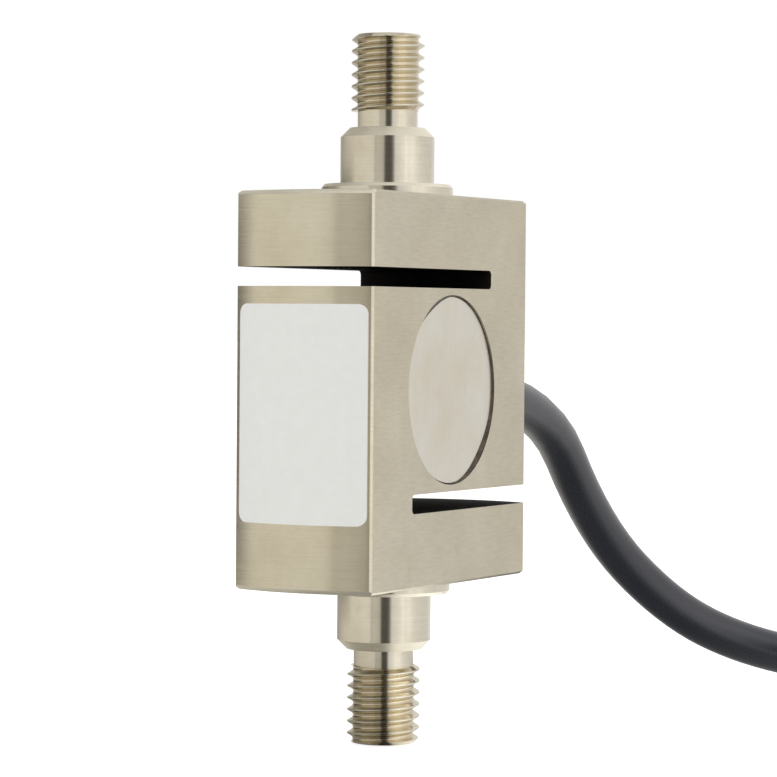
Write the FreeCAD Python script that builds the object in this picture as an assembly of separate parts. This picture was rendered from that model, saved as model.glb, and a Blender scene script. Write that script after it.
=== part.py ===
# S type load cell: one turned and slotted steel element with a threaded stud at each end,
# a round pocket in each flat that holds the strain gauges under a sunk cover, and a signal cable.
# Millimetres. +Z runs up the load axis. The origin is on that axis, at the tip of the lower stud.
# X runs along the flats, towards the cable at +X and the label at -X. Y runs through the flats, front at -Y.
import FreeCAD, Part
import math
import os

from FreeCAD import Vector

# Studs: M8 x 1.25, modelled at the crests
thread_diameter = 8.0
thread_length = 8.3
thread_tip_chamfer = 0.9
undercut_diameter = 6.4
undercut_length = 1.8
collar_diameter = 10.0
collar_length = 6.0
collar_chamfer = 1.0
flange_diameter = 14.0
flange_thickness = 1.2
flange_edge_break = 0.35

# Body: round bar with two flats
bar_diameter = 39.0
body_height = 41.0
flat_to_flat = 16.0
edge_break = 0.25

# The two slots that make the S
slot_width = 2.0
slot_from_end = 7.8
slot_past_axis = 9.0
slot_corner_radius = 0.5
rounding_share = 0.9

# Pockets, web and covers
web_thickness = 2.0
pocket_diameter = 16.4
pocket_corner_break = 0.4
cover_ledge_width = 1.7
cover_thickness = 0.5
cover_side_gap = 0.1
cover_sunk = 0.25
cover_edge_break = 0.1
cover_glue_thickness = 0.1
cover_glue_margin = 0.25

# Label on the round end
label_width = 15.2
label_height = 22.4
label_thickness = 0.12
label_corner_radius = 1.0
label_below_centre = 2.3
label_towards_front = 0.15

# Cable and gland
cable_diameter = 5.0
cable_gap = 0.1
gland_thread_diameter = 8.0
gland_thread_gap = 0.05
gland_bore_to_pocket = 3.6
gland_spot_diameter = 11.0
gland_spot_depth = 0.85
gland_head_across_flats = 9.0
gland_head_thickness = 3.0
gland_head_chamfer = 0.4
gland_washer_thickness = 0.6
gland_seal_thickness = 2.2
wire_passage_diameter = 6.0
wire_passage_overlap = 0.2
jacket_past_bore = 0.4
boot_seat_depth = 1.5
boot_seat_radius = 3.4
boot_nose_length = 2.0
boot_nose_radius = 3.0

# Strain gauges: two grids at plus and minus 45 degrees on one backing
backing_width = 7.4
backing_height = 6.0
backing_thickness = 0.08
foil_thickness = 0.05
grid_strips = 7
grid_strip_width = 0.16
grid_strip_pitch = 0.32
grid_strip_length = 2.1
grid_offset = 1.75
grid_rise = 0.45
tab_size = 0.7
tab_inset = 0.35

# Bridge board in the front pocket, terminal strip in the rear one
board_side_gap = 0.4
board_top_below_centre = 3.7
board_thickness = 0.8
pad_thickness = 0.05
pad_width = 1.0
pad_height = 0.9
pad_pitch = 1.8
gauge_pad_below_centre = 4.4
core_pad_below_centre = 5.9
strip_width = 7.6
strip_height = 2.8
chip_length = 1.6
chip_width = 0.8
chip_thickness = 0.45
chip_below_centre = 7.0

# Wires
core_diameter = 0.65
core_pitch = 0.92
core_straight_end = 1.0
core_seat_share = 0.84
gauge_wire_diameter = 0.2
link_wire_diameter = 0.3
link_wire_from_pocket = 0.3
link_wire_web_gap = 0.2
link_wire_steps = [2.4, 1.4, 1.3, 0.6]
link_wire_levels = [-5.4, -2.4, -1.5, -2.3, -4.0]
link_pad_column = 2.75

# Cable end: a sleeve on the end of the jacket and the stripped, tinned cores
end_sleeve_length = 12.0
end_sleeve_wall = 0.5
end_sleeve_grip = 7.0
pigtail_diameter = 1.2
pigtail_ring_radius = 1.3
pigtail_length = 30.0
pigtail_lane = 1.35
pigtail_fan = 0.55
pigtail_shares = [0.42, 0.7, 1.0]
tinned_length = 6.0
tinned_diameter = 0.7

# Coil of the cable, standing on the surface that the lower stud's tip is level with
coil_centre_x = 37.1
coil_centre_y = -80.0
coil_inner_radius = 20.0
coil_columns = 5
coil_layers = 3
coil_top_columns = 3
coil_column_pitch = 5.1
coil_layer_pitch = 5.1
coil_edge_break = 1.2
tie_angles = [50.0, 210.0]
tie_width = 3.6
tie_thickness = 0.8
tie_head_side = 4.6
tie_head_depth = 3.0

# Levels and radii that follow from the sizes above
stud_length = thread_length + undercut_length + collar_length + flange_thickness
body_bottom = stud_length
body_top = body_bottom + body_height
centre_z = body_bottom + body_height / 2
bar_radius = bar_diameter / 2
half_thickness = flat_to_flat / 2
web_face = web_thickness / 2
pocket_radius = pocket_diameter / 2
cover_radius = pocket_radius + cover_ledge_width
cover_bore_radius = cover_radius + cover_side_gap
cover_outer_y = half_thickness - cover_sunk
cover_inner_y = cover_outer_y - cover_thickness
ledge_y = cover_inner_y - cover_glue_thickness
spot_x = bar_radius - gland_spot_depth
gland_bore_end = pocket_radius + gland_bore_to_pocket
cable_radius = cable_diameter / 2
cable_bore_radius = cable_radius + cable_gap
coil_wall_radius = coil_inner_radius - cable_radius
coil_outer_radius = coil_inner_radius + (coil_columns - 1) * coil_column_pitch + cable_radius
coil_step_radius = coil_inner_radius + (coil_top_columns - 1) * coil_column_pitch + cable_radius
coil_bottom = tie_thickness
coil_step_z = coil_bottom + cable_diameter + (coil_layers - 1) * coil_layer_pitch
coil_top = coil_step_z + coil_layer_pitch

# Route of the cable from the gland down to the coil, points chosen by hand
lead_points = [
    (11.4, 0.0, 37.8),
    (37.5, 0.0, 37.8),
    (56.5, 1.1, 19.8),
    (65.8, -5.0, 9.7),
    (71.9, -12.8, 4.8),
    (76.8, -24.6, 2.5),
    (79.0, -41.0, 2.5),
    (78.6, -57.6, 2.7),
    (76.6, -73.4, 3.3),
]

# Route of the free end, from the uppermost turn out on to the layer below it
tail_points = [
    (61.4, -61.9, 18.6),
    (70.3, -73.0, 18.6),
    (73.0, -86.9, 18.8),
    (69.0, -100.5, 19.1),
    (59.2, -110.8, 19.2),
]

# Where each stripped core sits round the cable's axis, in degrees, from the innermost lane outwards
pigtail_seats = {"red": 162, "black": 234, "shield": 90, "green": 306, "white": 18}


def box(x0, x1, y0, y1, z0, z1):
    return Part.makeBox(x1 - x0, y1 - y0, z1 - z0, Vector(x0, y0, z0))


def rod(radius, x0, x1, y=0.0, z=centre_z):
    # a cylinder along X
    return Part.makeCylinder(radius, x1 - x0, Vector(x0, y, z), Vector(1, 0, 0))


def turned(points, axis):
    # a solid of revolution about Z or about the gauge axis, from (radius, height) points
    if axis == "z":
        line = [Vector(r, 0, h) for r, h in points]
        base, direction = Vector(0, 0, 0), Vector(0, 0, 1)
    else:
        line = [Vector(r, h, centre_z) for r, h in points]
        base, direction = Vector(0, 0, centre_z), Vector(0, 1, 0)
    face = Part.Face(Part.makePolygon(line + [line[0]]))
    return face.revolve(base, direction, 360)


def mirrored_front_to_back(shape):
    return shape.mirror(Vector(0, 0, 0), Vector(0, 1, 0))


def mirrored_top_to_bottom(shape):
    return shape.mirror(Vector(0, 0, centre_z), Vector(0, 0, 1))


def rounded_route(points):
    # straight runs joined by tangent arcs, as large as the two runs allow
    corners = [Vector(*p) for p in points]
    edges = []
    here = corners[0]
    for before, corner, after in zip(corners, corners[1:], corners[2:]):
        arrive = (corner - before).normalize()
        leave = (after - corner).normalize()
        turn = arrive.getAngle(leave)
        reach = 0.45 * min((corner - before).Length, (after - corner).Length)
        radius = reach / math.tan(turn / 2)
        start = corner - arrive * reach
        end = corner + leave * reach
        inward = (leave - arrive).normalize()
        middle = corner + inward * (radius / math.cos(turn / 2) - radius)
        edges.append(Part.LineSegment(here, start).toShape())
        edges.append(Part.Arc(start, middle, end).toShape())
        here = end
    edges.append(Part.LineSegment(here, corners[-1]).toShape())
    return edges


def tube(points, diameter):
    # a round cord: its section is drawn out along each run and turned round each bend
    pieces = []
    for edge in rounded_route(points):
        start = edge.valueAt(edge.FirstParameter)
        heading = edge.tangentAt(edge.FirstParameter)
        section = Part.Face(Part.Wire(Part.makeCircle(diameter / 2, start, heading)))
        if edge.Curve.TypeId == "Part::GeomCircle":
            angle = math.degrees(edge.LastParameter - edge.FirstParameter)
            pieces.append(section.revolve(edge.Curve.Center, edge.Curve.Axis, angle))
        else:
            pieces.append(section.extrude(heading * edge.Length))
    return pieces[0].fuse(pieces[1:]).removeSplitter()


def route_report(name, points, diameter):
    # the radii of a cord's bends, and its volume against its section times its length
    route = rounded_route(points)
    length = sum(e.Length for e in route)
    radii = [e.Curve.Radius for e in route if e.Curve.TypeId == "Part::GeomCircle"]
    solid = tube(points, diameter)
    expected = math.pi * diameter ** 2 / 4 * length
    print(f"{name}: length {length:.1f}, radii {[round(r, 1) for r in radii]}, "
          f"volume share {solid.Volume / expected:.4f}")


def stud():
    # the upper stud with its undercut, chamfered collar and flange
    thread_radius = thread_diameter / 2
    undercut_radius = undercut_diameter / 2
    collar_radius = collar_diameter / 2
    flange_radius = flange_diameter / 2
    flange_z = body_top + flange_thickness
    shoulder_z = flange_z + collar_length
    thread_z = shoulder_z + undercut_length
    tip_z = body_top + stud_length
    outline = [
        (0, body_top),
        (flange_radius, body_top),
        (flange_radius, flange_z),
        (collar_radius, flange_z),
        (collar_radius, shoulder_z - collar_chamfer),
        (collar_radius - collar_chamfer, shoulder_z),
        (undercut_radius, shoulder_z),
        (undercut_radius, thread_z),
        (thread_radius, thread_z),
        (thread_radius, tip_z - thread_tip_chamfer),
        (thread_radius - thread_tip_chamfer, tip_z),
        (0, tip_z),
    ]
    solid = turned(outline, "z")
    rim = [e for e in solid.Edges
           if len(e.Vertexes) == 1
           and abs(e.Curve.Radius - flange_radius) < 1e-6
           and abs(e.Curve.Center.z - flange_z) < 1e-6]
    return solid.makeChamfer(flange_edge_break, rim)


def bar_with_flats():
    # plan outline of two round ends and two flats, with every edge broken
    corner_x = math.sqrt(bar_radius ** 2 - half_thickness ** 2)
    front, back = -half_thickness, half_thickness
    left_round = Part.Arc(Vector(-corner_x, back, 0), Vector(-bar_radius, 0, 0), Vector(-corner_x, front, 0))
    right_round = Part.Arc(Vector(corner_x, front, 0), Vector(bar_radius, 0, 0), Vector(corner_x, back, 0))
    outline = Part.Wire([
        left_round.toShape(),
        Part.LineSegment(Vector(-corner_x, front, 0), Vector(corner_x, front, 0)).toShape(),
        right_round.toShape(),
        Part.LineSegment(Vector(corner_x, back, 0), Vector(-corner_x, back, 0)).toShape(),
    ])
    bar = Part.Face(outline).extrude(Vector(0, 0, body_height))
    bar.translate(Vector(0, 0, body_bottom))
    return bar.makeChamfer(edge_break, bar.Edges)


def slot_cutter():
    # the upper slot: open at -X, closed past the axis with two rounded corners
    closed_x = slot_past_axis
    top = body_top - slot_from_end
    cutter = box(-bar_radius - 1, closed_x, -half_thickness - 1, half_thickness + 1, top - slot_width, top)
    ends = [e for e in cutter.Edges
            if all(abs(v.X - closed_x) < 1e-6 for v in e.Vertexes)
            and abs(e.Vertexes[0].Z - e.Vertexes[1].Z) < 1e-6]
    radius = min(slot_corner_radius, slot_width / 2 * rounding_share)
    return cutter.makeFillet(radius, ends)


def turned_round_web(shape):
    # the lower slot is the upper one turned half a turn about the gauge axis
    return shape.rotated(Vector(0, 0, centre_z), Vector(0, 1, 0), 180)


def pocket_cutter():
    # the front pocket down to the web, and the ledge that the cover lies on
    floor_y = -web_face
    outline = [
        (0, floor_y),
        (pocket_radius, floor_y),
        (pocket_radius, -ledge_y),
        (cover_bore_radius, -ledge_y),
        (cover_bore_radius, -half_thickness - 1),
        (0, -half_thickness - 1),
    ]
    cutter = turned(outline, "y")
    foot = [e for e in cutter.Edges
            if len(e.Vertexes) == 1
            and abs(e.Curve.Radius - pocket_radius) < 1e-6
            and abs(e.Curve.Center.y - floor_y) < 1e-6]
    return cutter.makeChamfer(pocket_corner_break, foot)


def cable_bore_cutter():
    # spot face for the gland head, gland bore, and the passage that opens into both pockets
    passage_end = math.sqrt(pocket_radius ** 2 - (wire_passage_diameter / 2) ** 2) - wire_passage_overlap
    spot = rod(gland_spot_diameter / 2, spot_x, bar_radius + 1)
    bore = rod(gland_thread_diameter / 2, gland_bore_end, bar_radius)
    passage = rod(wire_passage_diameter / 2, passage_end, spot_x)
    return spot.fuse([bore, passage])


def spring_element():
    upper = stud()
    solid = bar_with_flats().fuse([upper, mirrored_top_to_bottom(upper)]).removeSplitter()
    slot = slot_cutter()
    pocket = pocket_cutter()
    cutters = [slot, turned_round_web(slot), pocket, mirrored_front_to_back(pocket), cable_bore_cutter()]
    return solid.cut(cutters)


def front_cover():
    outline = [
        (0, -cover_outer_y),
        (cover_radius - cover_edge_break, -cover_outer_y),
        (cover_radius, -cover_outer_y + cover_edge_break),
        (cover_radius, -cover_inner_y),
        (0, -cover_inner_y),
    ]
    return turned(outline, "y")


def front_cover_glue():
    # the ring of adhesive between the cover and its ledge
    inner = pocket_radius + cover_glue_margin
    outer = cover_radius - cover_glue_margin
    return turned([(inner, -cover_inner_y), (outer, -cover_inner_y), (outer, -ledge_y), (inner, -ledge_y)], "y")


def label():
    # a sticker that follows the round end
    half_chord = bar_radius * math.sin(label_width / 2 / bar_radius)
    middle = centre_z - label_below_centre
    height = label_height
    front, back = -half_chord - label_towards_front, half_chord - label_towards_front
    outline = box(-bar_radius - 1, -bar_radius / 2, front, back, middle - height / 2, middle + height / 2)
    corners = [e for e in outline.Edges if abs(e.Vertexes[0].X - e.Vertexes[1].X) > 1]
    patch = outline.makeFillet(label_corner_radius, corners)
    low = Vector(0, 0, body_bottom)
    outer = Part.makeCylinder(bar_radius + label_thickness, body_height, low)
    return patch.common(outer.cut(Part.makeCylinder(bar_radius, body_height, low)))


def gauge_backing():
    return box(-backing_width / 2, backing_width / 2, -web_face - backing_thickness, -web_face,
               centre_z - backing_height / 2, centre_z + backing_height / 2)


def foil_strip(x0, x1, z0, z1):
    near = web_face + backing_thickness
    return box(x0, x1, -near - foil_thickness, -near, z0, z1)


def gauge_grid():
    # one folded conductor: parallel strips joined by end loops, before it is turned to 45 degrees
    width = grid_strip_width
    half_span = (grid_strips - 1) * grid_strip_pitch / 2
    half_length = grid_strip_length / 2
    pieces = []
    for i in range(grid_strips):
        x = i * grid_strip_pitch - half_span
        pieces.append(foil_strip(x - width / 2, x + width / 2, -half_length, half_length))
        if i + 1 < grid_strips:
            loop = half_length if i % 2 else -half_length
            pieces.append(foil_strip(x - width / 2, x + grid_strip_pitch + width / 2, loop - width, loop + width))
    return pieces[0].fuse(pieces[1:])


def gauge_foil():
    # two grids at plus and minus 45 degrees, each with two solder tabs below it
    solids = []
    for side in (-1, 1):
        grid = gauge_grid().rotated(Vector(0, 0, 0), Vector(0, 1, 0), 45 * side)
        solids.append(grid.translated(Vector(side * grid_offset, 0, centre_z + grid_rise)))
        for column in (0.5, 1.5):
            x = side * column * pad_pitch
            top = centre_z - backing_height / 2 + tab_inset + tab_size
            solids.append(foil_strip(x - tab_size / 2, x + tab_size / 2, top - tab_size, top))
    return Part.makeCompound(solids)


def pads(columns, below_centre):
    # a row of copper pads on the face of the board
    near = web_face + board_thickness
    z = centre_z - below_centre
    return [box(x - pad_width / 2, x + pad_width / 2, -near - pad_thickness, -near,
                z - pad_height / 2, z + pad_height / 2) for x in columns]


gauge_pad_columns = [column * pad_pitch for column in (-1.5, -0.5, 0.5, 1.5)]
core_pad_columns = [column * pad_pitch for column in (2.0, 1.0, 0.0, -1.0)]
link_pad_x = link_pad_column * pad_pitch


def bridge_board():
    # the part of a disc that fills the foot of the front pocket
    radius = pocket_radius - board_side_gap
    near, far = web_face, web_face + board_thickness
    disc = turned([(0, -near), (radius, -near), (radius, -far), (0, -far)], "y")
    top = centre_z - board_top_below_centre
    board = disc.common(box(-radius, radius, -far, -near, centre_z - radius, top))
    relief = turned([(radius - board_side_gap, -near), (radius, -near), (radius, -near - board_side_gap)], "y")
    return board.cut(relief)


def bridge_board_pads():
    return Part.makeCompound(pads(gauge_pad_columns, gauge_pad_below_centre)
                             + pads(core_pad_columns, core_pad_below_centre)
                             + pads([link_pad_x], gauge_pad_below_centre))


def chip_resistor(x):
    near = web_face + board_thickness
    z = centre_z - chip_below_centre
    return box(x - chip_length / 2, x + chip_length / 2, -near - chip_thickness, -near,
               z - chip_width / 2, z + chip_width / 2)


def rear_terminal_strip():
    top = centre_z - board_top_below_centre
    return box(-strip_width / 2, strip_width / 2, web_face, web_face + board_thickness, top - strip_height, top)


def rear_terminal_pads():
    rows = pads(gauge_pad_columns, gauge_pad_below_centre)
    rows += pads(gauge_pad_columns[2:], core_pad_below_centre)
    return mirrored_front_to_back(Part.makeCompound(rows))


def bridge_core(order):
    # a core of the cable, from the end of its jacket through the passage to its pad
    starts = [(0.0, -1.0), (1.0, 0.0), (-1.0, 0.0), (0.0, 1.0)]
    spread = core_pitch * core_seat_share
    y0, z0 = (spread * s for s in starts[order])
    x0 = gland_bore_end - jacket_past_bore
    pad_face = web_face + board_thickness + pad_thickness
    lane_y = -(pad_face + core_diameter / 2)
    lane_z = (order - 1.5) * core_pitch
    mouth_x = pocket_radius + core_diameter
    pad_x = core_pad_columns[order]
    return tube([
        (x0, y0, centre_z + z0),
        (x0 - core_straight_end, y0, centre_z + z0),
        (mouth_x, lane_y, centre_z + lane_z),
        (pad_x, lane_y, centre_z + lane_z),
        (pad_x, lane_y, centre_z - core_pad_below_centre - pad_height / 3),
    ], core_diameter)


def gauge_wires():
    # hair-thin wires that hop from the gauge's tabs to the pads below it
    radius = gauge_wire_diameter / 2
    tab_face = web_face + backing_thickness + foil_thickness
    pad_face = web_face + board_thickness + pad_thickness
    tab_z = centre_z - backing_height / 2 + tab_inset + tab_size / 2
    wires = []
    for x in gauge_pad_columns:
        wires.append(tube([
            (x, -tab_face - radius, tab_z),
            (x, -pad_face - radius * 2, tab_z - tab_size),
            (x, -pad_face - radius, centre_z - gauge_pad_below_centre - pad_height / 4),
        ], gauge_wire_diameter))
    return Part.makeCompound(wires)


def link_wire():
    # the wire that joins the two halves of the bridge: rear strip, through the passage, front board
    pad_face = web_face + board_thickness + pad_thickness + link_wire_diameter / 2
    crossing_y = web_face + link_wire_web_gap
    crossing_x = pocket_radius + link_wire_from_pocket
    start_x = gauge_pad_columns[3]
    route = [
        (start_x, pad_face, -core_pad_below_centre),
        (start_x + link_wire_steps[0], pad_face, link_wire_levels[0]),
        (crossing_x - link_wire_steps[1], pad_face, link_wire_levels[1]),
        (crossing_x, crossing_y, link_wire_levels[2]),
        (crossing_x, -crossing_y, link_wire_levels[2]),
        (crossing_x - link_wire_steps[2], -pad_face, link_wire_levels[3]),
        (link_pad_x + link_wire_steps[3], -pad_face, link_wire_levels[4]),
        (link_pad_x, -pad_face, -gauge_pad_below_centre),
    ]
    return tube([(x, y, centre_z + level) for x, y, level in route], link_wire_diameter)


def gland_screw():
    # hollow screw: hex head outside, plain shank at thread crests inside, seat for the boot
    head_end = spot_x + gland_head_thickness
    shank_end = gland_bore_end + gland_washer_thickness + gland_seal_thickness
    corner_radius = gland_head_across_flats / math.sqrt(3)
    corners = [Vector(spot_x, corner_radius * math.cos(math.radians(60 * i)),
                      centre_z + corner_radius * math.sin(math.radians(60 * i))) for i in range(7)]
    head = Part.Face(Part.makePolygon(corners)).extrude(Vector(gland_head_thickness, 0, 0))
    cone = Part.makeCone(corner_radius + gland_head_thickness, corner_radius - gland_head_chamfer,
                         gland_head_thickness + gland_head_chamfer,
                         Vector(spot_x - gland_head_chamfer, 0, centre_z), Vector(1, 0, 0))
    shank = rod(gland_thread_diameter / 2 - gland_thread_gap, shank_end, spot_x)
    screw = head.common(cone).fuse(shank)
    bore = rod(cable_bore_radius, shank_end - 1, head_end + 1)
    boot_seat = rod(boot_seat_radius, head_end - boot_seat_depth, head_end + 1)
    return screw.cut([bore, boot_seat]).removeSplitter()


def gland_ring(start_x, thickness, inner_radius):
    outer = rod(gland_thread_diameter / 2 - gland_thread_gap, start_x, start_x + thickness)
    return outer.cut(rod(inner_radius, start_x - 1, start_x + thickness + 1))


def cable_boot():
    # the rubber boot: seated in the gland head, its nose tapers to the cable
    head_end = spot_x + gland_head_thickness
    seat = rod(boot_seat_radius, head_end - boot_seat_depth, head_end)
    nose = Part.makeCone(boot_seat_radius, boot_nose_radius, boot_nose_length,
                         Vector(head_end, 0, centre_z), Vector(1, 0, 0))
    boot = seat.fuse(nose).removeSplitter()
    return boot.cut(tube(lead_points[:3], cable_diameter))


def on_coil(angle, radius, z):
    # a place given by its angle and radius about the coil's axis
    turn = math.radians(angle)
    return Vector(coil_centre_x + radius * math.cos(turn), coil_centre_y + radius * math.sin(turn), z)


def revolved_about_coil(points):
    # a ring about the coil's axis, from (radius, height) points
    line = [on_coil(0, radius, z) for radius, z in points]
    face = Part.Face(Part.makePolygon(line + [line[0]]))
    return face.revolve(on_coil(0, 0, 0), Vector(0, 0, 1), 360)


def coil_section():
    # outline of the wound turns: full layers, and a narrower one on top
    return [(coil_wall_radius, coil_bottom), (coil_outer_radius, coil_bottom), (coil_outer_radius, coil_step_z),
            (coil_step_radius, coil_step_z), (coil_step_radius, coil_top), (coil_wall_radius, coil_top)]


def cable_coil():
    # the outer shape of the wound cable
    ring = revolved_about_coil(coil_section())
    rims = [e for e in ring.Edges
            if len(e.Vertexes) == 1
            and not (abs(e.Curve.Radius - coil_step_radius) < 1e-6 and abs(e.Curve.Center.z - coil_step_z) < 1e-6)]
    return ring.makeChamfer(min(coil_edge_break, cable_radius * rounding_share), rims)


def cable_tie(angle):
    # a strap drawn round the bundle of turns, with its head on the outer side
    section = [corner for corner in coil_section() if corner != (coil_step_radius, coil_step_z)]
    side = on_coil(angle + 90, 1, 0) - on_coil(0, 0, 0)
    line = [on_coil(angle, radius, z) - side * tie_width / 2 for radius, z in section]
    rounding = min(coil_edge_break, cable_radius * rounding_share)
    shrunk = Part.makePolygon(line + [line[0]]).makeOffset2D(-rounding, 2)
    outer = Part.Face(shrunk.makeOffset2D(rounding + tie_thickness, 0)).extrude(side * tie_width)
    head = Part.makeBox(tie_head_depth, tie_head_side, tie_head_side, Vector(0, -tie_head_side / 2, 0))
    head.rotate(Vector(0, 0, 0), Vector(0, 0, 1), angle)
    head.translate(on_coil(angle, coil_outer_radius, coil_bottom + tie_head_side / 2))
    return outer.fuse(head).cut(cable_coil()).removeSplitter()


def free_end():
    # where the jacket ends, and which way it points
    last, before = Vector(*tail_points[-1]), Vector(*tail_points[-2])
    return last, (last - before).normalize()


def end_sleeve():
    end, heading = free_end()
    start = end - heading * end_sleeve_grip
    outer = Part.makeCylinder(cable_radius + end_sleeve_wall, end_sleeve_length, start, heading)
    bore = Part.makeCylinder(cable_radius, end_sleeve_length + 2, start - heading, heading)
    return outer.cut(bore)


def pigtail_route(colour):
    # from the end of the jacket, out of the sleeve and down on to the turns, side by side and fanning out
    end, heading = free_end()
    outwards = Vector(-heading.y, heading.x, 0).normalize()
    upwards = heading.cross(outwards)
    around = math.radians(pigtail_seats[colour])
    seat = end + (outwards * math.cos(around) + upwards * math.sin(around)) * pigtail_ring_radius
    past_jacket = end_sleeve_length - end_sleeve_grip
    lane = list(pigtail_seats).index(colour) - (len(pigtail_seats) - 1) / 2
    start_angle = math.degrees(math.atan2(end.y - coil_centre_y, end.x - coil_centre_x))
    start_radius = math.hypot(end.y - coil_centre_y, end.x - coil_centre_x)
    rest_z = coil_step_z + pigtail_diameter / 2
    route = [tuple(seat), tuple(seat + heading * past_jacket)]
    for share in pigtail_shares:
        along = past_jacket + pigtail_length * share
        radius = start_radius + lane * (pigtail_lane + pigtail_fan * share)
        route.append(tuple(on_coil(start_angle - math.degrees(along / start_radius), radius, rest_z)))
    return route


def pigtail(colour):
    return tube(pigtail_route(colour), pigtail_diameter)


def tinned_end(colour):
    route = pigtail_route(colour)
    end, before = Vector(*route[-1]), Vector(*route[-2])
    heading = (end - before).normalize()
    return Part.makeCylinder(tinned_diameter / 2, tinned_length, end, heading)


def parts():
    cover, glue, backing, foil = front_cover(), front_cover_glue(), gauge_backing(), gauge_foil()
    made = {
        "spring_element": spring_element(),
        "front_cover": cover,
        "rear_cover": mirrored_front_to_back(cover),
        "front_cover_glue": glue,
        "rear_cover_glue": mirrored_front_to_back(glue),
        "label": label(),
        "front_gauge_backing": backing,
        "rear_gauge_backing": mirrored_front_to_back(backing),
        "front_gauge_foil": foil,
        "rear_gauge_foil": mirrored_front_to_back(foil),
        "bridge_board": bridge_board(),
        "bridge_board_pads": bridge_board_pads(),
        "rear_terminal_strip": rear_terminal_strip(),
        "rear_terminal_pads": rear_terminal_pads(),
        "span_resistor_left": chip_resistor(-chip_length),
        "span_resistor_right": chip_resistor(chip_length),
        "front_gauge_wires": gauge_wires(),
        "rear_gauge_wires": mirrored_front_to_back(gauge_wires()),
        "bridge_link_wire": link_wire(),
        "gland_screw": gland_screw(),
        "gland_washer": gland_ring(gland_bore_end, gland_washer_thickness, cable_bore_radius),
        "gland_seal": gland_ring(gland_bore_end + gland_washer_thickness, gland_seal_thickness, cable_radius),
        "cable_boot": cable_boot(),
    }
    for order, colour in enumerate(("red", "black", "green", "white")):
        made[f"bridge_core_{colour}"] = bridge_core(order)
    # the lead runs up to the coil's wall, and the tail starts in a groove in its uppermost turns
    coil = cable_coil()
    tail = tube(tail_points, cable_diameter)
    made["cable_lead"] = tube(lead_points, cable_diameter).cut(coil)
    made["cable_coil"] = coil.cut(tail)
    made["cable_tail"] = tail
    made["cable_ties"] = Part.makeCompound([cable_tie(angle) for angle in tie_angles])
    made["end_sleeve"] = end_sleeve()
    for colour in pigtail_seats:
        made[f"pigtail_{colour}"] = pigtail(colour)
    made["tinned_ends"] = Part.makeCompound([tinned_end(colour) for colour in pigtail_seats])
    return made


os.makedirs("parts", exist_ok=True)
route_report("cable_lead", lead_points, cable_diameter)
route_report("cable_tail", tail_points, cable_diameter)
for node, shape in parts().items():
    if not shape.isValid() or not shape.Solids:
        print(f"{node} isn't a valid solid")
    shape.exportStep(f"parts/{node}.step")
    print(f"{node}: {len(shape.Solids)} solid(s), {shape.Volume:.2f} mm3")
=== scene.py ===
# S type load cell, finished: steel element with real threads, sunk covers, label, gland and coiled cable.
# Metres, in the CAD model's frame: z runs up the load axis from the tip of the lower stud,
# x along the flats towards the cable, the front flat at -y.
import bmesh
import bpy
import math
from mathutils import Matrix, Vector


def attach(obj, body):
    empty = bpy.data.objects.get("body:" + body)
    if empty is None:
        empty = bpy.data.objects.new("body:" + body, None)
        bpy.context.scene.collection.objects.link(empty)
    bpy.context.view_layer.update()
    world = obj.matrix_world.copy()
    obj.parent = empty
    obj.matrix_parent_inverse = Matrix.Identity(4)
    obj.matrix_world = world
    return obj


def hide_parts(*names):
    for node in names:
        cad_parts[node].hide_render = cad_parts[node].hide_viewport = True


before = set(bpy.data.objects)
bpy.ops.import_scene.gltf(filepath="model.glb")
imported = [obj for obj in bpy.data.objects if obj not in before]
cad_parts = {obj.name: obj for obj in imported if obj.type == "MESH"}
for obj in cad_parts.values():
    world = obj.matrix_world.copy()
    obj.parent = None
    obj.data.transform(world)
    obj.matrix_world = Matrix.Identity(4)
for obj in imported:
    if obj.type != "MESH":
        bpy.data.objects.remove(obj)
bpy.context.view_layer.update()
print("frame loaded:", len(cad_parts), "nodes")

mm = 0.001
hair = 1e-6  # places that should be equal may be this far apart
mergeDistance = 1e-7
scene = bpy.context.scene

# the few sizes of the element that the finish has to follow
element = {
    "centreZ": 37.8 * mm,
    "bodyLow": 17.3 * mm,
    "bodyHigh": 58.3 * mm,
    "barRadius": 19.5 * mm,
    "flatY": 8.0 * mm,
    "slotMiddle": 11.7 * mm,  # above and below the centre
    "slotHalf": 1.0 * mm,
    "slotClosedX": 9.0 * mm,
    "recessRadius": 10.0 * mm,
    "coverFaceY": 7.75 * mm,
    "tipZ": 75.4 * mm,  # the photographed tips are a hair shorter than the model's
    "lowTipZ": 0.1 * mm,
    "undercutTop": 67.3 * mm,
    "edgeBreak": 0.3 * mm,  # the model breaks its edges by a little less than this
    "rimHeight": 0.45 * mm,  # turned bevel on the rims of the round ends
    "rimWidth": 0.55 * mm,
    "softAngle": 47,  # degrees, up to which a broken edge shades smoothly
}
centreZ = element["centreZ"]


# shared helpers
def addNode(tree, kind, inputs=None, **settings):
    made = tree.nodes.new(kind)
    for key, value in settings.items():
        setattr(made, key, value)
    for key, value in (inputs or {}).items():
        if isinstance(value, bpy.types.NodeSocket):
            tree.links.new(value, made.inputs[key])
        else:
            made.inputs[key].default_value = value
    return made


def startMaterial(name, look):
    # look: constants for the shader's own sockets
    material = bpy.data.materials.new(name)
    material.use_nodes = True
    tree = material.node_tree
    shader = tree.nodes["Principled BSDF"]
    for socket, value in look.items():
        shader.inputs[socket].default_value = value
    return material, tree, shader


def objectPlace(tree):
    return addNode(tree, "ShaderNodeTexCoord").outputs["Object"]


def axesOf(tree, vector=None):
    vector = vector or objectPlace(tree)
    return addNode(tree, "ShaderNodeSeparateXYZ", {"Vector": vector}).outputs


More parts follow.
